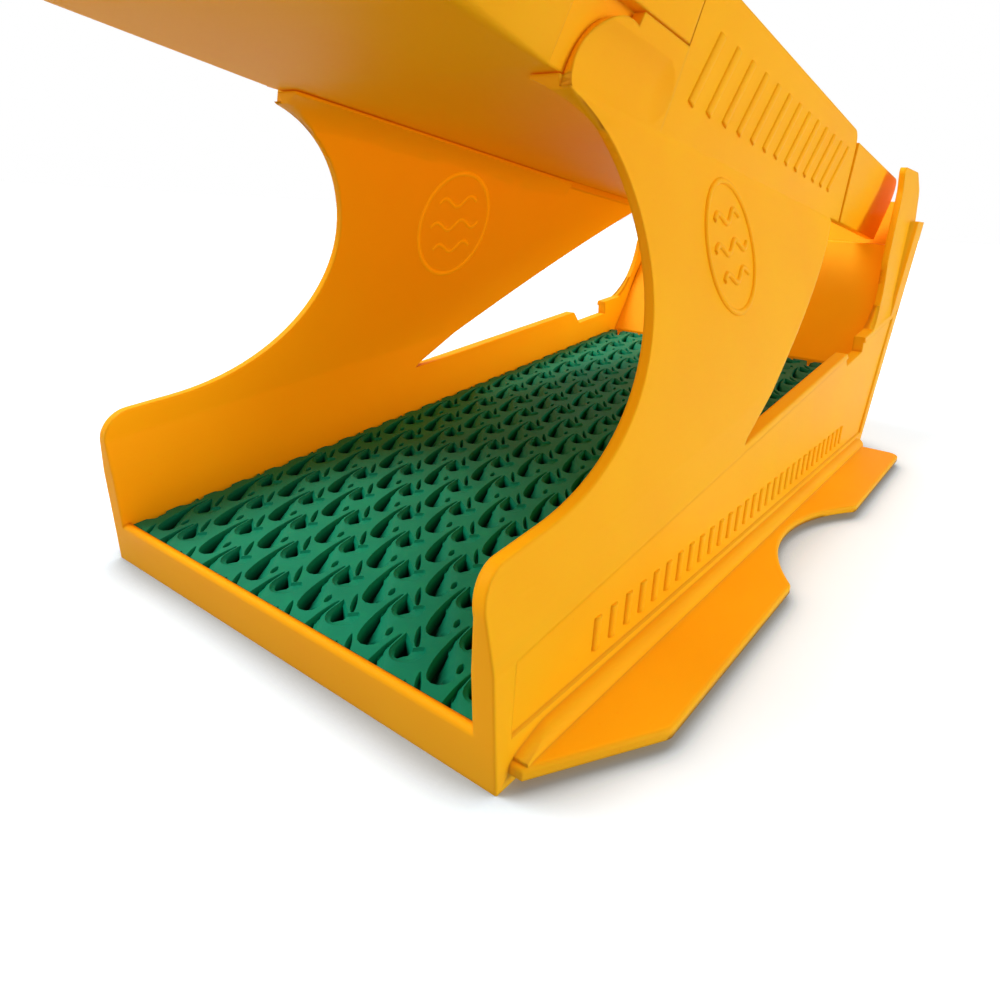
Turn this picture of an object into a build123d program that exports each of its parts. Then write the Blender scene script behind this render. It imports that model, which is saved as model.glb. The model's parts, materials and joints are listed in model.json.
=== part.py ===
"""Two-level switchback sluice: a wide lower channel whose side walls grow up into
legs that carry a narrower upper deck.  Water runs to the back along the deck,
drops against the rear wall and returns to the front lip along the lower channel.

Millimetres.  X is to the right, Y runs from the front lip to the back, Z is up.
The box is drawn from the middle of the lower channel's front edge, on the ground,
and every piece is moved at the end so that the origin lies under the middle of it.
"""
from build123d import *
from math import cos, radians, sin, tan
import os

# ---------------------------------------------------------------- driving sizes
skin = 4.5                # ordinary thickness of a moulded panel
skin_thin = 3.5           # thickness of the legs and deck walls towards their edges
fit_gap = 0.8             # loose fit between the deck and what it sits in

# Lower channel, in its own sloping frame: x across, v along, w up from the floor
bed_slope = 6.75          # degrees, climbing towards the back
bed_length = 472          # lip to the foot of the back wall
half_outer = 115
half_inner = 106.3
bed_underside = 5         # height of the floor panel's underside
bed_thickness = 4
lip_height = 20
lip_thickness = 3.5
lip_foot = 2              # the lip reaches this far below the bed's frame, then is cut off
crease_height = 43        # here the outer face starts to lean inward
rim_height = 47           # top of the low part of the wall, behind the legs
rim_outer, rim_inner = 114.4, 106.6
bend_height = 62          # here the legs start to lean
bend_outer, bend_inner = 112.3, 107.6
front_wall_height = 75

# Upper deck, in its own frame: x across, s along from the fold, h up
deck_slope = 5.0          # degrees, falling towards the back
deck_y, deck_z = 58, 221.3
deck_half = 74            # half width of the deck floor
deck_thickness = 4
deck_floor_length = 440
deck_length = 532
deck_wall_height = 49
lean = 13                 # degrees that deck walls and cheeks lean outward

# Seat line: the top of the legs, just below the deck's underside
seat_h = -4.5
seat_x = 79.5

# Rear of the box
rear_lean = 0.625         # run back for each unit of height
rear_foot = 490
shelf_z = 167             # the deck's tail stands on this shelf
ear_top = 229
flange_top = 188
panel_top = 205

# Ground flanges
wing_edge = 147
wing_base = 4.5           # the flanges sit this far above the skirt's foot
wing_thickness = 4
wing_length = 480

# Riffle mats
mat_thickness = 10
mat_gap = 1
cell_across = 17.15       # pitch of the pockets across the mat
cell_along = 36.6         # pitch of the pockets along the mat
pocket_depth = 6

far_side = 2 * half_outer  # a cut this deep passes through one side of the box
reach = 640               # longer than the whole box


# --------------------------------------------------------------------- frames
def direction(angle):
    """Unit vector in the YZ plane that climbs at this angle towards the back."""
    return Vector(0, cos(radians(angle)), sin(radians(angle)))


bed_along, bed_up = direction(bed_slope), direction(bed_slope + 90)
deck_along, deck_up = direction(-deck_slope), direction(90 - deck_slope)
deck_origin = Vector(0, deck_y, deck_z)


def bed_side(x):
    """Sketch plane beside the lower channel: sketch x is v and sketch y is w."""
    return Plane(origin=(x, 0, 0), x_dir=bed_along, z_dir=(1, 0, 0))


def bed_section(v):
    """Sketch plane across the lower channel: sketch y is w; extrude < 0 goes back."""
    return Plane(origin=bed_along * v, x_dir=(1, 0, 0), z_dir=-bed_along)


def bed_level(w):
    """Sketch plane parallel to the lower floor: sketch y is v."""
    return Plane(origin=bed_up * w, x_dir=(1, 0, 0), z_dir=bed_up)


def deck_side(x):
    """Sketch plane beside the deck: sketch x is s and sketch y is h."""
    return Plane(origin=deck_origin + Vector(x, 0, 0), x_dir=deck_along, z_dir=(1, 0, 0))


def deck_section(s):
    """Sketch plane across the deck: sketch y is h; extrude < 0 goes back."""
    return Plane(origin=deck_origin + deck_along * s, x_dir=(1, 0, 0), z_dir=-deck_along)


def deck_level(h):
    """Sketch plane parallel to the deck floor: sketch y is s."""
    return Plane(origin=deck_origin + deck_up * h, x_dir=(1, 0, 0), z_dir=deck_up)


def ground_side(x):
    """Upright sketch plane: sketch x is y and sketch y is z."""
    return Plane(origin=(x, 0, 0), x_dir=(0, 1, 0), z_dir=(1, 0, 0))


def rear_y(z, inset=0):
    """Outer face of the rear panel at a height above the ground, less an inset."""
    return rear_foot + rear_lean * z - inset


def seat_w(v):
    """Height of the seat line above the lower channel's frame at a distance v."""
    start = deck_origin + deck_up * seat_h
    fall = tan(radians(bed_slope + deck_slope))
    return start.dot(bed_up) - fall * (v - start.dot(bed_along))


def wall_x(h, clearance=0.0):
    """Outer face of a deck wall at a height above the deck's underside."""
    return deck_half + 1 + clearance + h * tan(radians(lean))


# ------------------------------------------------------- lower channel: the floor
with BuildPart() as lower_floor:
    with BuildSketch(bed_side(-half_inner)):
        with BuildLine():
            bed_top = bed_underside + bed_thickness
            Polyline(
                (0, 0), (0, lip_height), (lip_thickness, lip_height), (lip_thickness, bed_top),
                (bed_length, bed_top), (bed_length, bed_underside),
                (lip_thickness, bed_underside), (lip_thickness, 0), close=True,
            )
        make_face()
    extrude(amount=2 * half_inner)
    lip_front = lower_floor.edges().filter_by(Axis.X).group_by(Axis.Y)[0].sort_by(Axis.Z)[-1]
    fillet(lip_front, radius=2)
    # the lip's foot widens to meet the skirts
    with BuildSketch(bed_section(0)):
        with BuildLine():
            foot = half_outer - skin
            Polyline((-half_inner, bed_underside), (half_inner, bed_underside), (foot, 0),
                     (foot, -lip_foot), (-foot, -lip_foot), (-foot, 0), close=True)
        make_face()
    extrude(amount=-lip_thickness)
    split(bisect_by=Plane.XY, keep=Keep.TOP)
lower_floor.part.label = "lower_floor"

# ------------------------------------------------- lower channel: walls and skirts
skirt_drop = 80           # the blank reaches this far below the bed, then is cut off
notch_start, notch_end = 398, 452
notch_depth, notch_ramp = 11, 9
border = 6                # flat frame round the recessed band
band_depth = 1.4
band_foot = 17
bed_rise = tan(radians(bed_slope))

with BuildPart() as right_wall:
    with BuildSketch(bed_section(0)):
        with BuildLine():
            Polyline(
                (half_outer, -skirt_drop), (half_outer, crease_height),
                (rim_outer, rim_height), (rim_inner, rim_height),
                (half_inner, crease_height), (half_inner, bed_underside),
                (half_outer - skin, 0), (half_outer - skin, -skirt_drop), close=True,
            )
        make_face()
    extrude(amount=-reach)
    # the outer face is panelled: a shallow band inside a flat border
    with BuildSketch(ground_side(half_outer - band_depth)):
        with BuildLine():
            front_z = crease_height + border * bed_rise
            back = rear_y(band_foot, 2 * border)
            back_z = front_z + back * bed_rise
            Polyline(
                (border, band_foot), (back, band_foot),
                (back + rear_lean * (back_z - band_foot), back_z + 6), (border, front_z), close=True,
            )
        make_face()
    extrude(amount=2 * band_depth, mode=Mode.SUBTRACT)
    # notch in the rim
    with BuildSketch(bed_side(0)):
        with BuildLine():
            Polyline(
                (notch_start, rim_height + 1), (notch_start + notch_ramp, rim_height - notch_depth),
                (notch_end, rim_height - notch_depth), (notch_end, rim_height + 1), close=True,
            )
        make_face()
    extrude(amount=far_side, mode=Mode.SUBTRACT)
    # stops at the rear panel
    with BuildSketch(ground_side(0)):
        with BuildLine():
            Polyline(
                (rear_y(-200, skin), -200), (rear_y(300, skin), 300),
                (rear_y(300, skin) + reach, 300), (rear_y(-200, skin) + reach, -200), close=True,
            )
        make_face()
    extrude(amount=far_side, mode=Mode.SUBTRACT)
    split(bisect_by=Plane.XY, keep=Keep.TOP)
right_wall.part.label = "right_wall"

# ------------------------------------------------------------------------- legs
# The legs lean in as they rise, so their faces are ruled between the bend line and
# the seat line, which close on each other towards the back.
leaf_front, leaf_back = -10, 480


def leaf_profile(v):
    """Section of the leg's leaf at a distance v along the bed."""
    top = seat_w(v)
    return [
        (rim_outer, rim_height), (bend_outer, bend_height), (seat_x, top),
        (seat_x - skin_thin, top), (bend_inner, bend_height), (rim_inner, rim_height),
    ]


corner_round = 13
sweep_start = 35          # the front rim is level as far as this
waist_v, waist_w = 131, 146
tip_v, tip_w = 91, 206
crotch_v, crotch_w = 205, 49.5
leg_back_v = 447


def leg_side_view(above):
    """Lines round the front wall and the leg, up to this much above the seat line."""
    Line((0, rim_height), (0, front_wall_height - corner_round))
    RadiusArc((0, front_wall_height - corner_round), (corner_round, front_wall_height),
              corner_round)
    Line((corner_round, front_wall_height), (sweep_start, front_wall_height))
    EllipticalCenterArc(
        (sweep_start, waist_w), waist_v - sweep_start, waist_w - front_wall_height,
        start_angle=270, arc_size=90,
    )
    TangentArc((waist_v, waist_w), (tip_v, tip_w), tangent=(0, 1))
    Polyline(
        (tip_v, tip_w), (tip_v - 3, seat_w(tip_v) + above),
        (leg_back_v, seat_w(leg_back_v) + above), (leg_back_v, seat_w(leg_back_v) - 2),
        (crotch_v, crotch_w), (crotch_v - 4, rim_height), (0, rim_height),
    )


with BuildPart() as right_leg:
    for v in (leaf_front, leaf_back):
        with BuildSketch(bed_section(v)):
            with BuildLine():
                Polyline(*leaf_profile(v), close=True)
            make_face()
    loft(ruled=True)
    with BuildSketch(bed_side(0)):
        with BuildLine():
            leg_side_view(2)
        make_face()
    extrude(amount=far_side, mode=Mode.INTERSECT)
right_leg.part.label = "right_leg"

# ----------------------------------------------------- cheeks beside the deck
cheek_front, cheek_back = 79, 397
cheek_top_front, cheek_top_back = 55, 51.5
cheek_slant = 42          # the cheek's back edge leans forward by this much
cheek_round = 24
blank_top = cheek_top_front + 4


def cheek_x(h):
    """Outer face of a cheek at a height above the deck's underside."""
    rise = (wall_x(blank_top, fit_gap) + skin - seat_x) / (blank_top - seat_h)
    return seat_x + rise * (h - seat_h)


with BuildPart() as right_cheek:
    with BuildSketch(deck_section(0)):
        with BuildLine():
            Polyline(
                (wall_x(seat_h, fit_gap), seat_h), (wall_x(blank_top, fit_gap), blank_top),
                (cheek_x(blank_top), blank_top), (seat_x, seat_h), close=True,
            )
        make_face()
    extrude(amount=-deck_length)
    with BuildSketch(deck_side(0)):
        with BuildLine():
            outline = FilletPolyline(
                (cheek_front, seat_h), (cheek_front, cheek_top_front),
                (cheek_back - cheek_slant, cheek_top_back), (cheek_back, seat_h),
                radius=[6, cheek_round],
            )
            Line(outline @ 1, outline @ 0)
        make_face()
    extrude(amount=far_side, mode=Mode.INTERSECT)
right_cheek.part.label = "right_cheek"

# in front of the cheek the leg runs up into a shallow hollow under a flat rim; the
# hollow has a round end where it meets the cheek
rim_high = 27.8
hollow_radius, hollow_lean = 31.3, 11.3
hollow_x = seat_x + hollow_radius * cos(radians(hollow_lean))
hollow_h = seat_h + hollow_radius * sin(radians(hollow_lean))
hollow_end = 66
cove_front, cove_back = 9, 38
with BuildPart() as right_shoulder:
    with BuildSketch(deck_section(0)):
        with BuildLine():
            Polyline(
                (wall_x(seat_h, fit_gap), seat_h), (wall_x(rim_high, fit_gap), rim_high),
                (cheek_x(rim_high), rim_high), (seat_x, seat_h), close=True,
            )
        make_face()
    extrude(amount=-cheek_front)
    # seen from the side, the front of the shoulder sweeps back as it rises
    with BuildSketch(deck_side(0)):
        with BuildLine():
            Line((cheek_front, seat_h), (cove_front, seat_h))
            ThreePointArc((cove_front, seat_h), (cove_front + 3, 12), (cove_back, rim_high - 5))
            Polyline((cove_back, rim_high - 5), (cove_back + 1, rim_high), (cheek_front, rim_high),
                     (cheek_front, seat_h))
        make_face()
    extrude(amount=far_side, mode=Mode.INTERSECT)
    with BuildSketch(deck_section(0)):
        with Locations((hollow_x, hollow_h)):
            Circle(hollow_radius)
    extrude(amount=-hollow_end, mode=Mode.SUBTRACT)
    with Locations(deck_section(hollow_end).from_local_coords(Vector(hollow_x, hollow_h, 0))):
        Sphere(hollow_radius, mode=Mode.SUBTRACT)
right_shoulder.part.label = "right_shoulder"

# under the deck floor each leg's inner face curves in to a thin seat, which narrows
# towards the back
seat_nose = 4
seat_sections = [         # place along the deck, inner edge, foot, depth of the hollow
    (5, (62.5, -1.8), (80.5, -22), 0.17),
    (260, (73.5, -2.6), (78.2, -11), 0.02),
]
with BuildPart() as right_seat:
    for s, edge, foot, hollow in seat_sections:
        with BuildSketch(deck_section(s)):
            with BuildLine():
                middle = ((edge[0] + foot[0]) / 2 + hollow * (foot[0] - edge[0]),
                          (edge[1] + foot[1]) / 2 + hollow * (edge[1] - foot[1]))
                ThreePointArc(edge, middle, foot)
                Polyline(
                    foot, (foot[0], seat_h), (wall_x(seat_h, fit_gap), seat_h),
                    (wall_x(-fit_gap, fit_gap), -fit_gap), (edge[0], -fit_gap), edge,
                )
            make_face()
    loft(ruled=True)
    # less the leg itself and all that lies outside it
    for v in (leaf_front, leaf_back):
        with BuildSketch(bed_section(v)):
            with BuildLine():
                Polyline(
                    (bend_inner, bend_height), (seat_x - skin_thin, seat_w(v)),
                    (half_outer, seat_w(v)), (half_outer, bend_height), close=True,
                )
            make_face()
    loft(ruled=True, mode=Mode.SUBTRACT)
    # its front end is level with the leg's, and its inner corner is round
    with BuildSketch(bed_side(0)):
        with BuildLine():
            leg_side_view(8)
        make_face()
    extrude(amount=far_side, mode=Mode.INTERSECT)
    with BuildSketch(deck_level(-deck_wall_height)):
        with BuildLine():
            nose_s, nose_x = seat_sections[0][0], seat_sections[0][1][0]
            FilletPolyline(
                (nose_x, deck_length), (nose_x, nose_s), (half_outer, nose_s),
                (half_outer, deck_length), close=True, radius=[1, seat_nose, 1, 1],
            )
        make_face()
    extrude(amount=deck_wall_height, mode=Mode.INTERSECT)
right_seat.part.label = "right_seat"

# --------------------------------------------------------------------------- ears
ear_crown_w, ear_crown_x = 185, 104
flange_depth = 24
ear_back = 606
with BuildPart() as right_ear:
    with BuildSketch(bed_section(0)):
        with BuildLine():
            Polyline(
                (rim_outer, rim_height), (bend_outer, bend_height), (ear_crown_x, ear_crown_w),
                (ear_crown_x - skin, ear_crown_w), (bend_inner, bend_height),
                (rim_inner, rim_height), close=True,
            )
        make_face()
    extrude(amount=-reach)
    with BuildSketch(ground_side(0)):
        with BuildLine():
            ThreePointArc((455, 98), (486, 116), (501, 154))
            outline = FilletPolyline(
                (501, 154), (531, 210), (531, ear_top), (590, ear_top), (ear_back, 214),
                (rear_y(flange_top, skin), flange_top), radius=[8, 6, 8, 8],
            )
            Polyline(outline @ 1, (rear_y(60, skin), 60), (455, 60), (455, 98))
        make_face()
    extrude(amount=far_side, mode=Mode.INTERSECT)
    # a flange along the rear edge stays out flush with the skirt
    with BuildSketch(ground_side(half_outer - 2 * skin)):
        with BuildLine():
            foot = 90
            FilletPolyline(
                (rear_y(foot, skin + flange_depth), foot),
                (rear_y(flange_top, skin + flange_depth), flange_top),
                (rear_y(flange_top, skin), flange_top), (rear_y(foot, skin), foot),
                close=True, radius=[0.5, 3, 0.5, 0.5],
            )
        make_face()
    extrude(amount=2 * skin)
    split(bisect_by=bed_level(rim_height), keep=Keep.TOP)
right_ear.part.label = "right_ear"

# ------------------------------------------------------------ rear of the box
panel_half = ear_crown_x - skin - 1
with BuildPart() as rear_panel:
    for half, low, high in ((half_outer, 0, flange_top), (panel_half, flange_top, panel_top)):
        with BuildSketch(ground_side(-half)):
            with BuildLine():
                Polyline((rear_y(low, skin), low), (rear_y(high, skin), high),
                         (rear_y(high), high), (rear_y(low), low), close=True)
            make_face()
        extrude(amount=2 * half)
rear_panel.part.label = "rear_panel"

foot_y, foot_z = 466, 73
head_y = 530
with BuildPart() as back_wall:
    with BuildSketch(ground_side(-half_inner)):
        with BuildLine():
            Polyline(
                (foot_y, foot_z), (head_y, shelf_z), (rear_y(shelf_z, skin), shelf_z),
                (rear_y(shelf_z - skin, skin), shelf_z - skin),
                (head_y + 2, shelf_z - skin), (foot_y + 6, foot_z - skin),
                (foot_y, foot_z - skin), close=True,
            )
        make_face()
    extrude(amount=2 * half_inner)
    # trimmed to the walls and ears on both sides
    with BuildSketch(bed_section(bed_length - 20)):
        with BuildLine():
            half_section = [
                (half_inner, 0), (half_inner, crease_height), (rim_inner, rim_height),
                (bend_inner, bend_height), (ear_crown_x - skin, ear_crown_w),
            ]
            Polyline(*half_section, *[(-x, w) for x, w in reversed(half_section)], close=True)
        make_face()
    extrude(amount=-200, mode=Mode.INTERSECT)
    split(bisect_by=bed_section(bed_length), keep=Keep.BOTTOM)
back_wall.part.label = "back_wall"

# --------------------------------------------------------------- ground flanges
bay_radius, bay_y, bay_x = 119, 261, 125
wing_corner = 8
bead = 5.5
wing_top = wing_base + wing_thickness
with BuildPart() as right_wing:
    with BuildSketch(Plane.XY.offset(wing_base)):
        with BuildLine():
            Polyline((half_outer, 6), (120, 6), (wing_edge, 55), (wing_edge, wing_length),
                     (half_outer, wing_length), close=True)
        make_face()
        with Locations((bay_x + bay_radius, bay_y)):
            Circle(bay_radius, mode=Mode.SUBTRACT)
    extrude(amount=wing_thickness)
    fillet(right_wing.edges().filter_by(Axis.Z).group_by(Axis.X)[-1], radius=wing_corner)
    fillet(right_wing.faces().sort_by(Axis.Z)[-1].edges().filter_by(
        lambda edge: edge.center().X > half_outer + 1), radius=1.5)
    # a rounded bead along the root
    with BuildSketch(Plane.XZ.offset(-8)):
        with BuildLine():
            Line((half_outer, wing_top), (half_outer, wing_top + bead))
            RadiusArc((half_outer, wing_top + bead), (half_outer + bead, wing_top), bead)
            Line((half_outer + bead, wing_top), (half_outer, wing_top))
        make_face()
    extrude(amount=8 - wing_length)
    # the bead rises gradually from its front end
    with BuildSketch(ground_side(half_outer)):
        with BuildLine():
            Polyline((0, wing_top + 1), (8, wing_top + 1), (24, wing_top + bead),
                     (24, wing_top + bead + 1), (0, wing_top + bead + 1), close=True)
        make_face()
    extrude(amount=bead, mode=Mode.SUBTRACT)
right_wing.part.label = "right_wing"

# ------------------------------------------------------------------- upper deck
with BuildPart() as deck_floor:
    with BuildSketch(deck_level(0)):
        with Locations((0, deck_floor_length / 2)):
            Rectangle(2 * deck_half, deck_floor_length)
    extrude(amount=deck_thickness)
deck_floor.part.label = "deck_floor"

pad_low = rim_high + fit_gap
tail_step = 6.5           # behind the cheeks the walls step out and hang lower
tail_hang = 4.5
tail_drop = 3             # the tail's top is this much below the rest of the wall
tail_round = 20
tail_gap = 1.5            # between a cheek's back edge and the tail


def tail_start(h):
    """Front face of the tail at a height: it runs along the cheek's slanted back edge."""
    slant = cheek_slant / (cheek_top_back - seat_h)
    return cheek_back + tail_gap - slant * (h - seat_h)


with BuildPart() as deck_right_wall:
    top = deck_wall_height
    tail_top = top - tail_drop
    # the tail is thicker and deeper than the rest of the wall
    with BuildSketch(deck_section(0)):
        with BuildLine():
            Polyline(
                (deck_half, -tail_hang), (wall_x(-tail_hang) + tail_step, -tail_hang),
                (wall_x(top) + tail_step, top), (wall_x(top) - 1, top), (deck_half, 1), close=True,
            )
        make_face()
    extrude(amount=-deck_length)
    with BuildSketch(deck_side(0)):
        with BuildLine():
            Polyline((tail_start(-10), -10), (tail_start(tail_top), tail_top),
                     (deck_length, tail_top), (deck_length, -10), close=True)
        make_face()
    extrude(amount=far_side, mode=Mode.INTERSECT)
    with BuildSketch(deck_section(0)):
        with BuildLine():
            Polyline(
                (deck_half, 0), (wall_x(0), 0), (wall_x(top), top),
                (wall_x(top) - skin_thin, top), (deck_half, 10), close=True,
            )
        make_face()
    extrude(amount=-deck_length)
    # a shoulder overhangs the rim of the hollow, in front of the cheek
    with BuildSketch(deck_section(0)):
        with BuildLine():
            Polyline(
                (wall_x(pad_low) - 1, pad_low), (cheek_x(pad_low), pad_low),
                (cheek_x(top), top), (wall_x(top) - 1, top), close=True,
            )
        make_face()
    extrude(amount=fit_gap - cheek_front)
    # the tail's top corner is round and its foot stands on the shelf
    with BuildSketch(deck_side(0)):
        with BuildLine():
            step = tail_start(tail_top)
            FilletPolyline(
                (0, -10), (0, top + 5), (step - 8, top + 5), (step + 2, tail_top),
                (deck_length, tail_top), (deck_length, -10), close=True,
                radius=[0.5, 0.5, 0.2, 2, tail_round, 0.5],
            )
        make_face()
    extrude(amount=far_side, mode=Mode.INTERSECT)
    with BuildSketch(ground_side(0)):
        with Locations((600, shelf_z - 20 + fit_gap / 2)):
            Rectangle(200, 40)
    extrude(amount=far_side, mode=Mode.SUBTRACT)
deck_right_wall.part.label = "deck_right_wall"

# flared inlet in front of the fold: outer skin less inner skin
inlet_length = 103
inlet_kink = 3.2          # extra degrees that the inlet's floor rises
foot_flare, side_flare, edge_flare = 3, 14, 18


def inlet_plane(y):
    """Upright plane across the inlet; extrude < 0 goes back."""
    return Plane(origin=(0, y, 0), x_dir=(1, 0, 0), z_dir=(0, -1, 0))


def inlet_profile(y, inset=0.0):
    """Corners of a section of the inlet: narrow at the fold, flared at the mouth."""
    part = (deck_y - y) / inlet_length
    foot_z = deck_z + (deck_y - y) * tan(radians(deck_slope + inlet_kink)) + inset
    side_z = foot_z + 20
    edge_z = deck_z + deck_wall_height + 14 * part + (1 if inset else 0)
    half = [
        (wall_x(0) + foot_flare * part - inset, foot_z),
        (wall_x(20) + 4 + side_flare * part - inset, side_z),
        (wall_x(deck_wall_height) + 5 + edge_flare * part - inset, edge_z),
    ]
    return half + [(-x, z) for x, z in reversed(half)]


def inlet_rounding(y, inset=0.0):
    """Radii of a section's corners; the sides grow rounder towards the mouth."""
    part = (deck_y - y) / inlet_length
    foot, side = 1.5 + 12 * part - 0.1 * inset, 8 + 22 * part
    return [foot, side, 0.2, 0.2, side, foot]


with BuildPart() as deck_inlet:
    mouth_y = deck_y - inlet_length
    for y in (deck_y, mouth_y):
        with BuildSketch(inlet_plane(y)):
            with BuildLine():
                FilletPolyline(*inlet_profile(y), close=True, radius=inlet_rounding(y))
            make_face()
    loft(ruled=True)
    for y in (deck_y + 1, mouth_y - 1):
        with BuildSketch(inlet_plane(y)):
            with BuildLine():
                FilletPolyline(*inlet_profile(y, deck_thickness), close=True,
                               radius=inlet_rounding(y, deck_thickness))
            make_face()
    loft(ruled=True, mode=Mode.SUBTRACT)
    # meets the deck square to its floor
    split(bisect_by=deck_section(0), keep=Keep.TOP)
deck_inlet.part.label = "deck_inlet"


# ------------------------------------------------------------------ riffle mats
def pocket_places(half_width, length):
    """Centres of the staggered pockets on a mat, from the middle of its front edge."""
    columns = int((half_width - 8) / cell_across)
    places = []
    for column in range(-columns, columns + 1):
        start = cell_along / 4 if column % 2 else 3 * cell_along / 4
        rows = int((length - start - cell_along / 4) / cell_along) + 1
        places += [(column * cell_across, start + cell_along * row) for row in range(rows)]
    return places


mat_start, mat_end = lip_thickness + mat_gap, bed_length - 8
with BuildPart() as lower_mat:
    with BuildSketch(bed_level(bed_top)):
        with Locations((0, (mat_start + mat_end) / 2)):
            Rectangle(2 * (half_inner - mat_gap), mat_end - mat_start)
    extrude(amount=mat_thickness)
    with BuildSketch(bed_level(bed_top + mat_thickness)):
        with Locations(*[(x, mat_start + v) for x, v in
                         pocket_places(half_inner - mat_gap, mat_end - mat_start)]):
            SlotCenterToCenter(16, 8, rotation=60)
    extrude(amount=-pocket_depth, mode=Mode.SUBTRACT)
lower_mat.part.label = "lower_mat"

deck_mat_start, deck_mat_end = 1, deck_floor_length + 3
with BuildPart() as upper_mat:
    with BuildSketch(deck_level(deck_thickness)):
        with Locations((0, (deck_mat_start + deck_mat_end) / 2)):
            Rectangle(2 * (deck_half - mat_gap), deck_mat_end - deck_mat_start)
    extrude(amount=mat_thickness)
    with BuildSketch(deck_level(deck_thickness + mat_thickness)):
        with Locations(*[(x, deck_mat_start + s) for x, s in
                         pocket_places(deck_half - mat_gap, deck_mat_end - deck_mat_start)]):
            SlotCenterToCenter(16, 8, rotation=60)
    extrude(amount=-pocket_depth, mode=Mode.SUBTRACT)
upper_mat.part.label = "upper_mat"

# ------------------------------------------------------- files, and left-hand pieces
middle_pieces = [lower_floor, rear_panel, back_wall, deck_floor, deck_inlet, lower_mat, upper_mat]
right_pieces = [right_wall, right_leg, right_cheek, right_shoulder, right_seat, right_ear,
                right_wing, deck_right_wall]
to_middle = Location((0, -(mouth_y + rear_y(panel_top)) / 2, 0))
os.makedirs("parts", exist_ok=True)
for piece in middle_pieces + right_pieces:
    export_step(piece.part.moved(to_middle), f"parts/{piece.part.label}.step")
for piece in right_pieces:
    with BuildPart() as left_piece:
        add(mirror(piece.part, about=Plane.YZ))
    left_piece.part.label = piece.part.label.replace("right", "left")
    export_step(left_piece.part.moved(to_middle), f"parts/{left_piece.part.label}.step")
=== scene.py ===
"""Looks for the two-level sluice box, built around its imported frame.

Both housings are moulded in one piece, so each is shown as one seamless shell made from
its CAD nodes.  The riffle mats are modelled pocket by pocket, and raised bars and rings
stand on the lower housing.  Metres, unless a name ends in _mm or _MM.
"""

import json
from collections import namedtuple
from math import cos, pi, radians, sin

import bmesh
import bpy
from mathutils import Matrix, Vector
from mathutils.bvhtree import BVHTree
from mathutils.geometry import delaunay_2d_cdt

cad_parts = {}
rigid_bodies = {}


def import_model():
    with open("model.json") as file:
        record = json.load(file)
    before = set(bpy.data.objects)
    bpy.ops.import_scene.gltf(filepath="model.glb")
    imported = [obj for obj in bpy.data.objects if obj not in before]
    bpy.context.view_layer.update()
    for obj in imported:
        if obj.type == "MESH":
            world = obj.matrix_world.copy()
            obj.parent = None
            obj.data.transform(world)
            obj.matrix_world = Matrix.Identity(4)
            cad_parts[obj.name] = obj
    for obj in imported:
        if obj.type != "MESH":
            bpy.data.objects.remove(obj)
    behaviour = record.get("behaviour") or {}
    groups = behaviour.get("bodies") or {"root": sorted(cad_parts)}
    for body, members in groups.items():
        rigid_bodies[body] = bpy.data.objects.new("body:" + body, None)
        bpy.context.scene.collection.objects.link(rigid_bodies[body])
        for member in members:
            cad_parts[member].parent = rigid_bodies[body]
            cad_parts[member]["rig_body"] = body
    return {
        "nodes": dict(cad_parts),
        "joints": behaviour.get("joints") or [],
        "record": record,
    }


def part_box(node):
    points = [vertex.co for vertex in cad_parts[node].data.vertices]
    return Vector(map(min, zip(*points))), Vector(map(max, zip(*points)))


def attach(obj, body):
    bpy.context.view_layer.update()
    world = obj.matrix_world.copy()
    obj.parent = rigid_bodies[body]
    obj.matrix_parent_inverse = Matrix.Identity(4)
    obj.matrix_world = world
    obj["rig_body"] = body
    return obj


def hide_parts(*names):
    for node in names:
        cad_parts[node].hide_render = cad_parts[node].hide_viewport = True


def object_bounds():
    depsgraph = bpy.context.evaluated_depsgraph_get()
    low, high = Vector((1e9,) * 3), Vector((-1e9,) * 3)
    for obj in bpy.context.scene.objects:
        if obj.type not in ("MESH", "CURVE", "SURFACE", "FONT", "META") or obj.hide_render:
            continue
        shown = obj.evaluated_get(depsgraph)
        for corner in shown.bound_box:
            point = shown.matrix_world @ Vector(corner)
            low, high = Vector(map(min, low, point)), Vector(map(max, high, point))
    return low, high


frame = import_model()
cad_low, cad_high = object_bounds()
MM = 0.001
WHITE = (1, 1, 1, 1)


# ------------------------------------------------------------------ working frames
# matrix: x across, y along the floor and z up from it, from the middle of the front edge
Slab = namedtuple("Slab", "matrix half_width length thickness")


def joint_axis(name):
    return Vector(next(j["axis"] for j in frame["joints"] if j["name"] == name))


def sloping_matrix(origin, up):
    across = Vector((1, 0, 0))
    along = up.cross(across)
    turn = Matrix((across, along, up)).transposed().to_4x4()
    return Matrix.Translation(origin) @ turn


def slab_of(node, up):
    """The flat slab that fills a node's box and has this upward normal."""
    low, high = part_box(node)
    span = high - low
    rise, run = abs(up.y), up.z
    length = (span.y * run - span.z * rise) / (run * run - rise * rise)
    thickness = (span.z - length * rise) / run
    if up.y < 0:          # climbs to the back: its lowest corner is at the front
        origin = Vector((0, low.y + thickness * rise, low.z))
    else:                 # falls to the back
        origin = Vector((0, low.y, low.z + length * rise))
    return Slab(sloping_matrix(origin, up), high.x, length, thickness)


MAT_BACK_MM = 3.4                # from the lip's foot to the lower mat's front edge
bed_up = joint_axis("lower_mat_lift")
lower_slab = slab_of("lower_mat", bed_up)
upper_slab = slab_of("upper_mat", joint_axis("upper_mat_lift"))
mat_front = lower_slab.matrix.translation.y


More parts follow.
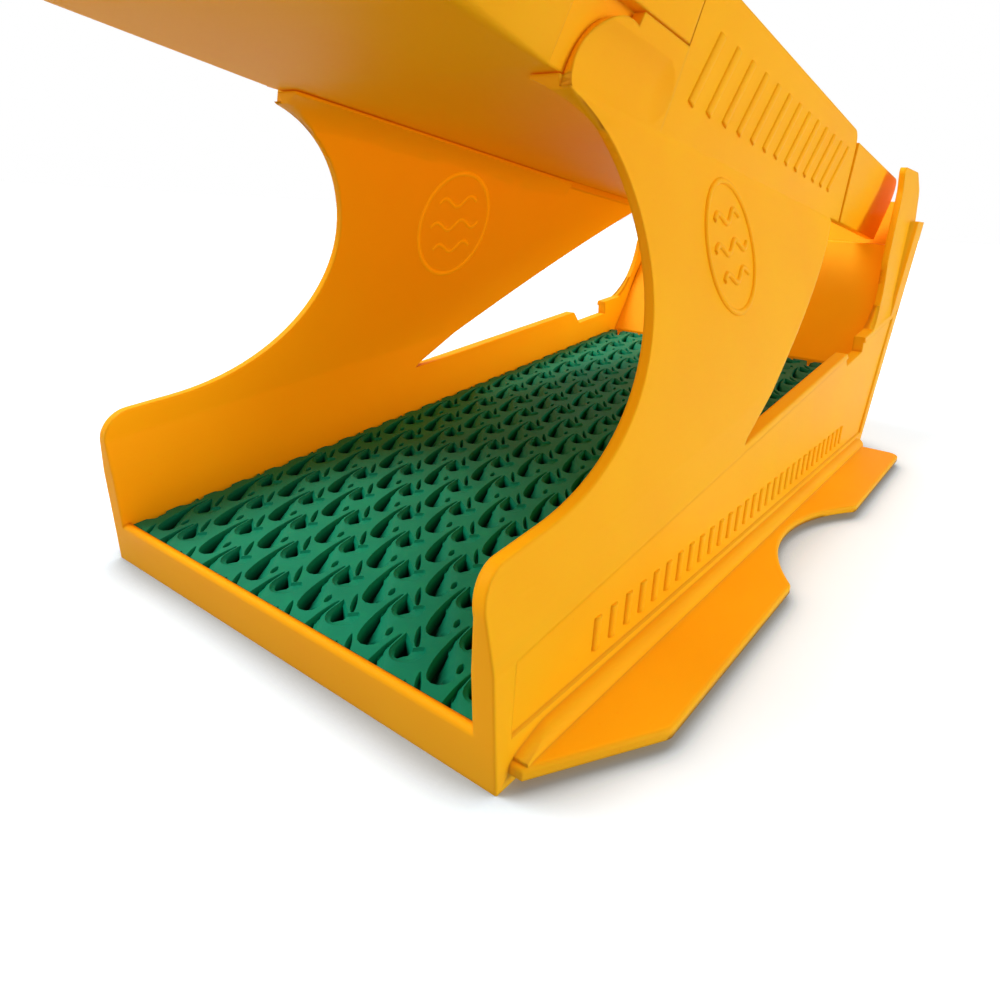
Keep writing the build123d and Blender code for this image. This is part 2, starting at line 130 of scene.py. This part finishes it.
# ---------------------------------------------------------------- node-tree helpers
class Nodes:
    """Short names for the few node types that the materials and the world use."""

    def __init__(self, owner):
        owner.use_nodes = True
        self.owner = owner
        self.tree = owner.node_tree
        self.tree.nodes.clear()

    def add(self, kind, inputs=None, **settings):
        node = self.tree.nodes.new(kind)
        for key, value in settings.items():
            setattr(node, key, value)
        for key, value in (inputs or {}).items():
            self.feed(node, key, value)
        return node

    def feed(self, node, key, value):
        socket = node.inputs[key]
        if isinstance(value, bpy.types.NodeSocket):
            self.tree.links.new(value, socket)
        else:
            socket.default_value = value

    def place(self, scale=(1, 1, 1)):
        """Object coordinates, stretched."""
        coordinate = self.add("ShaderNodeTexCoord").outputs["Object"]
        return self.add("ShaderNodeMapping", {"Vector": coordinate, "Scale": scale}).outputs[0]

    def split(self, vector):
        """The X, Y and Z of a vector."""
        return self.add("ShaderNodeSeparateXYZ", {0: vector}).outputs

    def noise(self, scale, detail=4.0, stretch=(1, 1, 1)):
        return self.add("ShaderNodeTexNoise", {
            "Vector": self.place(stretch), "Scale": scale, "Detail": detail,
            "Roughness": 0.55}).outputs["Fac"]

    def occlusion(self, reach_mm, samples, only_local=False):
        """1 in the open, and less where something is nearer than the reach."""
        return self.add("ShaderNodeAmbientOcclusion", {"Distance": reach_mm * MM},
                        samples=samples, only_local=only_local).outputs["AO"]

    def ramp(self, factor, low, high, start=0.3, end=0.7):
        node = self.add("ShaderNodeValToRGB", {"Fac": factor})
        first, last = node.color_ramp.elements
        first.color, first.position = low, start
        last.color, last.position = high, end
        return node.outputs["Color"]

    def spread(self, value, source=(0, 1), target=(0, 1)):
        """Goes from one end of the target to the other as a value crosses the source."""
        return self.add("ShaderNodeMapRange", {
            "Value": value, "From Min": source[0], "From Max": source[1],
            "To Min": target[0], "To Max": target[1]}).outputs[0]

    def product(self, first, second):
        return self.add("ShaderNodeMath", {0: first, 1: second}, operation="MULTIPLY").outputs[0]

    def tinted(self, colour, tint):
        node = self.add("ShaderNodeMix", data_type="RGBA", blend_type="MULTIPLY")
        self.feed(node, 0, 1.0)
        self.feed(node, 6, colour)
        self.feed(node, 7, tint)
        return node.outputs[2]

    def bump(self, height, distance_mm, strength, normal=None):
        inputs = {"Height": height, "Distance": distance_mm * MM, "Strength": strength}
        if normal is not None:
            inputs["Normal"] = normal
        return self.add("ShaderNodeBump", inputs).outputs["Normal"]

    def surface(self, **inputs):
        """Ends a material with a principled shader that has these inputs."""
        shader = self.add("ShaderNodeBsdfPrincipled")
        for key, value in inputs.items():
            self.feed(shader, key.replace("_", " "), value)
        self.add("ShaderNodeOutputMaterial", {"Surface": shader.outputs["BSDF"]})
        return self.owner


# ----------------------------------------------------------------------- materials
YELLOW = (0.92, 0.40, 0.004, 1), (0.96, 0.45, 0.006, 1)
# lighter yellow for painted light, where the translucent wall is thinner and looks brighter from
# inside
PAINTED_LIGHT_YELLOW = (0.96, 0.45, 0.01, 1), (0.98, 0.50, 0.015, 1)
# colour of the painted glow, an emission that stands in for translucency and bounced light
PAINTED_GLOW_COLOUR = (1.0, 0.29, 0.0, 1)
GREEN = (0.001, 0.20, 0.105, 1), (0.002, 0.285, 0.15, 1)
# floor colour, from the painted contact shadow to the pale floor
FLOOR_SHADOW_AND_PALE = (0.42, 0.50, 0.56, 1), (0.76, 0.88, 0.96, 1)
# the pockets' painted shade runs between these depths
POCKET_SHADE_MM = 1.6, 5.5       # depths where the pockets start to darken, and end


def yellow_plastic(name, glow, tones):
    """Warm yellow plastic: soft moulded edges, fine layer lines, faint mottling, painted shade in
    its creases, and a painted orange glow that stands in for translucency and bounced light."""
    n = Nodes(bpy.data.materials.new(name))
    cloud = n.noise(9, detail=3)
    colour = n.ramp(cloud, *tones, 0.35, 0.65)
    specks = n.ramp(n.noise(420, detail=2), WHITE, (0.95, 0.9, 0.8, 1), 0.7, 0.78)
    colour = n.tinted(colour, specks)
    # painted shade: darker and more orange in creases and inner corners
    crease_shade = n.occlusion(5, samples=8, only_local=True)
    colour = n.tinted(colour, n.ramp(crease_shade, (0.72, 0.48, 0.26, 1), WHITE, 0.25, 0.85))

    soft_edges = n.add("ShaderNodeBevel", {"Radius": 2.0 * MM}, samples=8).outputs["Normal"]
    layer_lines = n.noise(900, detail=2, stretch=(0.05, 0.05, 1))
    normal = n.bump(layer_lines, 0.12, 0.35, soft_edges)
    normal = n.bump(n.noise(1500, detail=3), 0.08, 0.3, normal)

    # painted shade: faces that look down get less of the painted glow
    facing = n.split(n.add("ShaderNodeNewGeometry").outputs["Normal"])
    down = n.spread(facing["Z"], (-0.9, -0.35), (0.65, 1.0))
    # faces that look outwards get less of the painted glow than those that look into the box
    outward = n.product(facing["X"], n.split(n.place())["X"])
    painted_glow = n.product(down, n.spread(outward, (-0.03, 0.05), (glow, 0.2 * glow)))
    # painted shade: narrow gaps get a dimmer painted glow
    gap_shade = n.ramp(n.occlusion(35, samples=6), (0.3, 0.4, 0.3, 1), WHITE, 0.25, 0.8)
    return n.surface(
        Base_Color=colour, Roughness=n.spread(cloud, target=(0.46, 0.56)), Normal=normal,
        IOR=1.15, Specular_IOR_Level=0.5,
        Subsurface_Weight=0.3, Subsurface_Radius=(1.0, 0.45, 0.1), Subsurface_Scale=2 * MM,
        Emission_Color=n.tinted(PAINTED_GLOW_COLOUR, gap_shade), Emission_Strength=painted_glow)


def green_rubber():
    """Green moulded rubber with painted shade down in its pockets, and a little silt in its
    grain.
    """
    n = Nodes(bpy.data.materials.new("green_rubber"))
    colour = n.ramp(n.noise(14), *GREEN)
    silt = n.ramp(n.noise(160, detail=5), WHITE, (1.5, 1.12, 1.0, 1), 0.5, 0.75)
    colour = n.tinted(colour, silt)
    depth = n.add("ShaderNodeAttribute", attribute_name="depth_mm").outputs["Fac"]
    # painted shade: darker the deeper the surface lies below the mat's top
    shade = n.ramp(n.spread(depth, POCKET_SHADE_MM), WHITE, (0.05, 0.09, 0.08, 1), 0.0, 1.0)
    return n.surface(
        Base_Color=n.tinted(colour, shade), Roughness=n.spread(n.noise(60), target=(0.42, 0.58)),
        Normal=n.bump(n.noise(700, detail=3), 0.15, 0.4), IOR=1.35, Specular_IOR_Level=0.2)


def pale_floor():
    """White, with a painted contact shadow: darker and glowing less close to what stands on it.
    """
    n = Nodes(bpy.data.materials.new("pale_floor"))
    # painted shadow: how close the floor is to what stands on it
    near = n.occlusion(45, samples=12)
    cloud = n.ramp(n.noise(0.8, detail=2), (0.97, 0.97, 0.97, 1), WHITE)
    return n.surface(
        Base_Color=n.tinted(n.ramp(near, *FLOOR_SHADOW_AND_PALE, 0.45, 0.95), cloud), Roughness=0.8,
        Specular_IOR_Level=0.0, Emission_Color=WHITE,
        Emission_Strength=n.spread(near, (0.5, 0.95), (0.02, 0.46)))


yellow = yellow_plastic("yellow_plastic", 0.36, YELLOW)
green = green_rubber()


# ------------------------------------------------------------------ moulded shells
CORNER_ROUND_MM = 3.0            # on the two upright corners beside the lip
CORNER_TOP_MM = 44               # they are blunt up to here, just under the lip walls' rims
SHELL_SHARP, MAT_SHARP, RIB_SHARP = 35, 42, 60    # degrees; flatter edges are smooth


def cleaned(mesh, weld, flat_degrees):
    """Welds a mesh's corners and joins faces that lie in one plane."""
    work = bmesh.new()
    work.from_mesh(mesh)
    bmesh.ops.remove_doubles(work, verts=work.verts, dist=weld)
    bmesh.ops.dissolve_limit(work, angle_limit=radians(flat_degrees), verts=work.verts,
                             edges=work.edges)
    work.to_mesh(mesh)
    work.free()
    return mesh


def evaluated(piece):
    graph = bpy.context.evaluated_depsgraph_get()
    return bpy.data.meshes.new_from_object(piece.evaluated_get(graph), depsgraph=graph)


def link(name, data):
    piece = bpy.data.objects.new(name, data)
    bpy.context.scene.collection.objects.link(piece)
    return piece


def united(name, nodes):
    """One mesh that is the union of these CAD nodes."""
    copies = []
    for node in nodes:
        mesh = cleaned(frame["nodes"][node].data.copy(), weld=1e-6, flat_degrees=0.05)
        copies.append(bpy.data.objects.new(name + "_" + node, mesh))
    base = copies[0]
    bpy.context.scene.collection.objects.link(base)
    others = bpy.data.collections.new(name + "_others")
    bpy.context.scene.collection.children.link(others)
    for copy in copies[1:]:
        others.objects.link(copy)
    union = base.modifiers.new("union", "BOOLEAN")
    union.operation = "UNION"
    union.solver = "EXACT"
    union.operand_type = "COLLECTION"
    union.collection = others
    mesh = evaluated(base)
    for copy in copies:
        bpy.data.objects.remove(copy)
    bpy.data.collections.remove(others)
    return cleaned(mesh, weld=5e-5, flat_degrees=0.3)


def front_y(z):
    """Where the lower housing's sloping front face is at a height above the ground."""
    return mat_front - MAT_BACK_MM * MM + z * bed_up.y / bed_up.z


def blunted(mesh):
    """Rounds the two upright corners at the front of the lower housing's skirts."""
    work = bmesh.new()
    work.from_mesh(mesh)

    def beside_front(vert, margin):
        return abs(vert.co.y - front_y(vert.co.z)) < margin and vert.co.z < CORNER_TOP_MM * MM

    outside = max(vert.co.x for vert in work.verts if beside_front(vert, MM / 2))
    corners = [edge for edge in work.edges if len(edge.link_faces) == 2
               and all(beside_front(vert, MM / 20) and abs(vert.co.x) > outside - MM
                       for vert in edge.verts)
               and edge.calc_face_angle(0) > radians(60)]
    bmesh.ops.bevel(work, geom=corners, offset=CORNER_ROUND_MM * MM, segments=4, profile=0.5,
                    affect="EDGES", clamp_overlap=True)
    work.to_mesh(mesh)
    work.free()
    return mesh


def shaded(mesh, material, sharp_degrees):
    mesh.materials.clear()
    mesh.materials.append(material)
    mesh.shade_smooth()
    mesh.set_sharp_from_angle(angle=radians(sharp_degrees))
    return mesh


def unfolded(mesh):
    """Shades flat the faces whose smooth normals point away from them."""
    normals = mesh.corner_normals
    for face in mesh.polygons:
        if min(normals[k].vector.dot(face.normal) for k in face.loop_indices) < 0.2:
            face.use_smooth = False
    return mesh


def shell(name, body, material):
    nodes = frame["record"]["behaviour"]["bodies"][body]
    mesh = united(name, nodes)
    if body == "lower_sluice":
        mesh = blunted(mesh)
    piece = link(name, unfolded(shaded(mesh, material, SHELL_SHARP)))
    weight = piece.modifiers.new("flat faces stay flat", "WEIGHTED_NORMAL")
    weight.keep_sharp = True
    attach(piece, body)
    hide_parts(*nodes)
    return piece


housing = shell("lower_housing", "lower_sluice", yellow)
shell("upper_deck_shell", "upper_deck", yellow)


# -------------------------------------------------------------------- riffle mats
# One motif, in millimetres: x across the channel and y towards the back, measured from
# the back left corner of its deep hole.  Depths are below the mat's top.
ACROSS_MM, ALONG_MM = 17.15, 36.6
CORNER_MM = (-30.5, 37.1)        # one such corner, from the middle of the mat's front edge
LAND_MM = 0.3                    # how deep the top lies where outlines cross each other
CAP_STEPS = 6                    # facets of a spine's round end
GROOVE = [                       # spine x, y and half width of the long comma
    (-0.6, -1.6, 0.3), (-0.55, -5.0, 0.55), (-0.3, -8.4, 0.75), (0.3, -11.2, 1.15),
    (1.1, -13.6, 1.65), (2.1, -16.2, 2.3), (3.4, -19.0, 3.1), (4.9, -21.9, 3.9),
    (6.6, -24.8, 4.5), (8.2, -27.5, 4.7),
]
SLOT = [(1.8, 6.0, 0.15), (3.4, 3.6, 0.8), (5.2, 1.2, 1.05), (7.2, -1.3, 1.0), (8.6, -2.9, 0.6)]
ALMOND = [(-6.1, -0.9, 0.5), (-5.7, -2.0, 0.95), (-5.2, -3.3, 1.05), (-4.8, -4.6, 0.7)]
SLOT_MM, ALMOND_MM = 3.4, 5.5    # their depths
BOWL = [                         # rim of the bowl round the hole, from the corner
    (0.3, 0.1), (2.6, -1.2), (5.5, -3.2), (8.4, -5.1), (9.3, -4.1), (10.2, -3.0), (11.4, -2.2),
    (12.7, -2.9), (13.6, -4.8), (13.9, -7.0), (13.2, -9.5), (11.6, -11.5), (9.2, -12.9),
    (6.8, -13.2), (4.7, -12.6), (2.8, -11.1), (1.6, -9.0), (1.1, -6.4), (0.9, -3.4),
]
BOWL_RINGS = [(-0.3, 0.0), (0.0, 0.5), (0.5, 1.1)]    # distance in from the rim, and depth
HOLE = [                         # edge of the deep hole inside the bowl
    (1.2, -1.5), (3.0, -2.6), (5.6, -4.3), (7.9, -6.0), (8.0, -7.2), (6.9, -8.8), (5.9, -10.6),
    (4.7, -10.6), (3.4, -9.5), (2.4, -7.7), (1.8, -5.4), (1.5, -3.0),
]
HOLE_RINGS = [(0.0, 1.9), (0.4, 8.4)]
COMMA_RINGS = [                  # distances in from its right and left edges, depths there
    (-0.4, -0.3, 0.0, 0.0), (0.0, 0.0, 0.3, 0.5), (1.0, 0.3, 0.9, 3.4),
    (2.6, 0.7, 1.7, 5.6), (4.4, 1.4, 3.2, 6.4),
]


def square_to(heading):
    return Vector((heading.y, -heading.x))


def outline_of(spine):
    """Closed outline round a tapering spine: left side, round end, right side, tip."""
    middles = [Vector((x, y)) for x, y, r in spine]
    halves = [r for x, y, r in spine]
    left, right = [], []
    for i, (middle, r) in enumerate(zip(middles, halves)):
        ahead = middles[min(i + 1, len(spine) - 1)]
        behind = middles[max(i - 1, 0)]
        normal = square_to((ahead - behind).normalized())
        left.append(middle - normal * r)
        right.append(middle + normal * r)
    heading = (middles[-1] - middles[-2]).normalized()
    normal = square_to(heading)
    cap = [middles[-1] + (heading * sin(a) - normal * cos(a)) * halves[-1]
           for a in [pi * k / CAP_STEPS for k in range(1, CAP_STEPS)]]
    tip = [middles[0] - (middles[1] - middles[0]).normalized() * halves[0]]
    return left + cap + right[::-1] + tip


def inset(outline, distance):
    """An outline moved inwards by a distance, which is negative to move it outwards."""
    count = len(outline)
    area = sum(outline[i].cross(outline[(i + 1) % count]) for i in range(count))
    turn = 1 if area > 0 else -1
    moved = []
    for i, point in enumerate(outline):
        before = (point - outline[i - 1]).normalized()
        after = (outline[(i + 1) % count] - point).normalized()
        inwards = square_to((before + after).normalized()) * -turn
        moved.append(point + inwards * distance)
    return moved


def narrowed(spine, distance):
    """A spine whose half widths are less by a distance, but keep a share of themselves."""
    return [(x, y, max(r - distance, 0.3 * r)) for x, y, r in spine]


def skewed(spine, right, left):
    """A spine narrowed by different distances on its right (+x) and left (-x) sides."""
    moved = []
    for x, y, r in spine:
        share = min(1.0, 0.75 * r / ((right + left) / 2)) if right + left > 0 else 1.0
        moved.append((x + (left - right) / 2 * share, y, r - (left + right) / 2 * share))
    return moved


def comma_depth(k, stations, right_depth, left_depth):
    """Depth of the k-th point of a comma's ring, which follows the outline's order: one
    side, the round end, the other side and the tip.  It is least at the tip."""
    count = 2 * stations + CAP_STEPS
    along = min(k, stations - 1, count - 1 - k) / (stations - 1)
    if k < stations:
        side = 0.0
    elif k < stations + CAP_STEPS - 1:
        side = 0.45 + 0.55 * (k - stations + 1) / CAP_STEPS
    else:
        side = 1.0
    return (0.45 + 0.55 * along ** 0.5) * (right_depth + (left_depth - right_depth) * side)


def motif():
    """Points (x, y, z) in millimetres and the edges between them, for one motif."""
    points, edges = [], []

    def ring(outline, depths):
        start, count = len(points), len(outline)
        points.extend((p.x, p.y, -depth) for p, depth in zip(outline, depths))
        edges.extend((start + k, start + (k + 1) % count) for k in range(count))

    def level_ring(outline, depth):
        ring(outline, [depth] * len(outline))

    for right, left, right_depth, left_depth in COMMA_RINGS:
        outline = outline_of(skewed(GROOVE, right, left))
        ring(outline, [comma_depth(k, len(GROOVE), right_depth, left_depth)
                       for k in range(len(outline))])
    for spine, depth in ((SLOT, SLOT_MM), (ALMOND, ALMOND_MM)):
        level_ring(outline_of([(x, y, r + 0.25) for x, y, r in spine]), 0.0)
        level_ring(outline_of(narrowed(spine, 0.05)), 0.35)
        level_ring(outline_of(narrowed(spine, 0.45)), depth)
    for corners, rings in ((BOWL, BOWL_RINGS), (HOLE, HOLE_RINGS)):
        for distance, depth in rings:
            level_ring(inset([Vector(p) for p in corners], distance), depth)
    return points, edges


def closed_below(work, half, length):
    """Cuts a mat's top off square at its edges, and adds its side walls and underside."""
    for point, normal in (((half, 0, 0), (1, 0, 0)), ((-half, 0, 0), (-1, 0, 0)),
                          ((0, length, 0), (0, 1, 0)), ((0, 0, 0), (0, -1, 0))):
        geometry = work.verts[:] + work.edges[:] + work.faces[:]
        bmesh.ops.bisect_plane(work, geom=geometry, plane_co=point, plane_no=normal,
                               clear_outer=True)
    border = [edge for edge in work.edges if edge.is_boundary]
    grown = bmesh.ops.extrude_edge_only(work, edges=border)["geom"]
    for item in grown:
        if isinstance(item, bmesh.types.BMVert):
            item.co.z = 0
    foot = [item for item in grown if isinstance(item, bmesh.types.BMEdge)]
    bmesh.ops.edgenet_fill(work, edges=[edge for edge in foot if edge.is_boundary])
    bmesh.ops.recalc_face_normals(work, faces=work.faces)


def riffle_mat(name, node, slab, material):
    """A mat with staggered motifs."""
    points, edges = motif()
    flat, joins, heights = [], [], []
    first_column = int((-slab.half_width / MM - CORNER_MM[0]) / ACROSS_MM) - 1
    last_column = int((slab.half_width / MM - CORNER_MM[0]) / ACROSS_MM) + 1
    last_row = int((slab.length / MM - CORNER_MM[1]) / ALONG_MM) + 1
    for column in range(first_column, last_column + 1):
        stagger = ALONG_MM / 2 if column % 2 else 0
        for row in range(-2, last_row + 1):
            start = len(flat)
            x0 = CORNER_MM[0] + column * ACROSS_MM
            y0 = CORNER_MM[1] + row * ALONG_MM + stagger
            flat += [Vector((x0 + x, y0 + y)) for x, y, z in points]
            heights += [z for x, y, z in points]
            joins += [(start + a, start + b) for a, b in edges]
    verts, _, faces, origins, _, _ = delaunay_2d_cdt(flat, joins, [], 0, 1e-4)

    work = bmesh.new()
    depth = work.verts.layers.float.new("depth_mm")
    made = []
    for vert, origin in zip(verts, origins):
        z = heights[origin[0]] if origin else -LAND_MM
        made.append(work.verts.new((vert.x * MM, vert.y * MM, slab.thickness + z * MM)))
        made[-1][depth] = -z
    for face in faces:
        work.faces.new([made[k] for k in face])
    closed_below(work, slab.half_width, slab.length)
    mesh = bpy.data.meshes.new(name)
    work.to_mesh(mesh)
    work.free()
    mesh.transform(slab.matrix)
    piece = link(name, shaded(mesh, material, MAT_SHARP))
    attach(piece, frame["nodes"][node]["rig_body"])
    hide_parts(node)


riffle_mat("lower_riffle_mat", "lower_mat", lower_slab, green)
riffle_mat("upper_riffle_mat", "upper_mat", upper_slab, green)


# ------------------------------------------------------- raised bars, rings and waves
RIB_SECTION = [                  # across the line and up from the wall, as shares
    (-0.5, -0.5), (-0.5, 0.25), (-0.32, 0.9), (0, 1.0), (0.32, 0.9), (0.5, 0.25), (0.5, -0.5),
]
DECK_MAT_MM, BED_MAT_MM = (1, 4), (4.5, 9)        # where the mats begin, along and up
EMBLEM_MM = (222, 139)           # middle of the ring on a leg, in the bed's coordinates
RING_MM, RING_STEPS = 31, 48
WAVES_MM = [(17, 14), (22, 0), (17, -14)]         # half length, and height over the middle
SWING_MM, WAVE_MM, WAVE_STEPS = 2.8, 22, 12


def surface_tree(piece):
    """A piece's mesh as a tree that rays can be cast at."""
    work = bmesh.new()
    work.from_mesh(piece.data)
    tree = BVHTree.FromBMesh(work)
    work.free()
    return tree


def rib(work, tree, line, width_mm, height_mm, closed, inner):
    """Adds a raised strip that follows a line of (y, z) points on the right-hand side."""
    count = len(line)
    start, way = ((0, (1, 0, 0)) if inner else (1, (-1, 0, 0)))
    rows = []
    for i, point in enumerate(line):
        if closed:
            along = line[(i + 1) % count] - line[i - 1]
        else:
            along = line[min(i + 1, count - 1)] - line[max(i - 1, 0)]
        along.normalize()
        across = Vector((-along.y, along.x)) * width_mm * MM
        row = []
        for offset, height in RIB_SECTION:
            y, z = point + across * offset
            place, normal, _, _ = tree.ray_cast((start, y, z), way)
            row.append(work.verts.new(place + normal * height * height_mm * MM))
        rows.append(row)
    for near, far in zip(rows, rows[1:] + rows[:1] if closed else rows[1:]):
        for k in range(len(RIB_SECTION)):
            j = (k + 1) % len(RIB_SECTION)
            work.faces.new((near[k], near[j], far[j], far[k]))
    if not closed:
        work.faces.new(rows[0])
        work.faces.new(rows[-1][::-1])


def ribs(name, side, lines, material, width_mm, height_mm, closed=False, inner=False):
    """A set of raised strips on one side of the lower housing; side is 1 or -1."""
    work = bmesh.new()
    for line in lines:
        rib(work, housing_tree, line, width_mm, height_mm, closed, inner)
    for vert in work.verts:
        vert.co.x *= side
    bmesh.ops.recalc_face_normals(work, faces=work.faces)
    mesh = bpy.data.meshes.new(name)
    work.to_mesh(mesh)
    work.free()
    piece = link(name, shaded(mesh, material, RIB_SHARP))
    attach(piece, "lower_sluice")


def channel_point(slab, begins_mm, along_mm, up_mm):
    """(y, z) of a point given in a channel's coordinates, where its mat begins."""
    place = slab.matrix @ Vector((0, (along_mm - begins_mm[0]) * MM, (up_mm - begins_mm[1]) * MM))
    return Vector((place.y, place.z))


def deck_point(along_mm, up_mm):
    """(y, z) of a point given along the deck and above its underside."""
    return channel_point(upper_slab, DECK_MAT_MM, along_mm, up_mm)


def bed_point(along_mm, up_mm):
    """(y, z) of a point given along the lower channel and above its own frame."""
    return channel_point(lower_slab, BED_MAT_MM, along_mm, up_mm)


def ground_point(y_mm, z_mm):
    """(y, z) of a point given along the ground from the lip and above the ground."""
    return Vector((mat_front + (y_mm - MAT_BACK_MM) * MM, z_mm * MM))


def bars(point, places_mm, foot_mm, top_mm, lean_mm=0, steps=3):
    """Upright bars at these places along a channel, each as a line of points."""
    return [[point(place + lean_mm * (t / steps - 0.5), foot_mm + (top_mm - foot_mm) * t / steps)
             for t in range(steps + 1)] for place in places_mm]


def wave(reach_mm, lift_mm):
    """A wavy line across the middle of the leg's ring."""
    middle, level = EMBLEM_MM
    steps = int(2 * reach_mm / WAVE_MM * WAVE_STEPS)
    line = []
    for i in range(steps + 1):
        at = 2 * reach_mm * i / steps
        line.append(bed_point(middle - reach_mm + at,
                              level + lift_mm + SWING_MM * sin(2 * pi * at / WAVE_MM)))
    return line


def ring_point(turn):
    return bed_point(EMBLEM_MM[0] + RING_MM * cos(turn), EMBLEM_MM[1] + RING_MM * sin(turn))


housing_tree = surface_tree(housing)
cheek_bars = bars(deck_point, range(100, 352, 20), 10, 39, lean_mm=8)
band_bars = bars(ground_point, range(58, 426, 12), 23, 36)
ring_line = [[ring_point(2 * pi * k / RING_STEPS) for k in range(RING_STEPS)]]
pool_lines = [wave(reach, lift) for reach, lift in WAVES_MM]
painted_light_plastic = yellow_plastic("painted_light_plastic", 0.5, PAINTED_LIGHT_YELLOW)
for side, word in ((1, "right"), (-1, "left")):
    ribs(word + "_cheek_bars", side, cheek_bars, yellow, 6.5, 1.2)
    ribs(word + "_band_bars", side, band_bars, yellow, 4.5, 1.2)
    ribs(word + "_leg_ring", side, ring_line, yellow, 3.0, 1.2, closed=True)
    ribs(word + "_leg_waves", side, pool_lines, yellow, 2.8, 1.2)
    # inside, the emblem is faint ribs of lighter, more glowing plastic: painted light
    ribs(word + "_inner_ring", side, ring_line, painted_light_plastic, 3.2, 0.15, closed=True, inner=True)
    ribs(word + "_inner_waves", side, pool_lines, painted_light_plastic, 2.6, 0.15, inner=True)


# ------------------------------------------------------------ floor, lights, camera
FLOOR_REACH = 60
KEY_PLACE, KEY_POWER, KEY_ANGLE = Vector((-0.55, -0.28, 1.0)), 2.25, 35
SIDE_PLACE, SIDE_POWER, SIDE_SIZE = Vector((1.6, 0.2, 0.35)), 12, 0.8
EYE_PLACE = Vector((0.2222, -0.1606, 0.1739))     # from the middle of the mat's front edge
EYE_HEADING, EYE_DIP, EYE_ROLL = radians(36.32), radians(13.85), radians(3.67)
SENSOR_MM, LENS_MM, SHIFT_UP = 36, 26.58, -0.106


def lamp(name, kind, place, aim, power, **settings):
    data = bpy.data.lights.new(name, kind)
    data.energy = power
    for key, value in settings.items():
        setattr(data, key, value)
    piece = link(name, data)
    piece.location = place
    piece.rotation_euler = (aim - place).to_track_quat("-Z", "Y").to_euler()


def floor():
    mesh = bpy.data.meshes.new("floor")
    corners = [(x * FLOOR_REACH, y * FLOOR_REACH, 0)
               for x, y in ((-1, -1), (1, -1), (1, 1), (-1, 1))]
    mesh.from_pydata(corners, [], [(0, 1, 2, 3)])
    mesh.materials.append(pale_floor())
    piece = link("floor", mesh)
    piece.visible_diffuse = False


def world():
    """A white surround; the light that it sheds is softer, and dimmer from below and from
    the front."""
    n = Nodes(bpy.data.worlds.new("studio"))
    way = n.split(n.add("ShaderNodeTexCoord").outputs["Generated"])
    height = n.spread(way["Z"], (-0.3, 0.4), (0.85, 1.0))
    depth = n.spread(way["Y"], (-1.0, 0.3), (0.6, 1.0))
    soft = n.add("ShaderNodeBackground", {"Color": n.product(height, depth), "Strength": 0.6})
    white = n.add("ShaderNodeBackground", {"Color": WHITE, "Strength": 1.0})
    seen = n.add("ShaderNodeLightPath").outputs["Is Camera Ray"]
    mix = n.add("ShaderNodeMixShader", {0: seen, 1: soft.outputs[0], 2: white.outputs[0]})
    n.add("ShaderNodeOutputWorld", {"Surface": mix.outputs[0]})
    bpy.context.scene.world = n.owner


def camera():
    """Close in front of the right corner, looking back and a little down."""
    forward = Vector((-sin(EYE_HEADING) * cos(EYE_DIP), cos(EYE_HEADING) * cos(EYE_DIP),
                      -sin(EYE_DIP)))
    data = bpy.data.cameras.new("camera")
    data.sensor_width = SENSOR_MM
    data.lens = LENS_MM
    data.shift_y = SHIFT_UP
    data.clip_start = 0.01
    eye = link("camera", data)
    turn = forward.to_track_quat("-Z", "Y").to_matrix().to_4x4()
    place = Matrix.Translation(Vector((0, mat_front, 0)) + EYE_PLACE)
    eye.matrix_world = place @ turn @ Matrix.Rotation(EYE_ROLL, 4, "Z")
    bpy.context.scene.camera = eye


floor()
world()
lamp("key", "SUN", KEY_PLACE, Vector((0, 0, 0)), KEY_POWER, angle=radians(KEY_ANGLE))
lamp("right", "AREA", SIDE_PLACE, (cad_low + cad_high) / 2, SIDE_POWER, shape="DISK",
     size=SIDE_SIZE)
camera()
bpy.context.scene.view_settings.view_transform = "Standard"
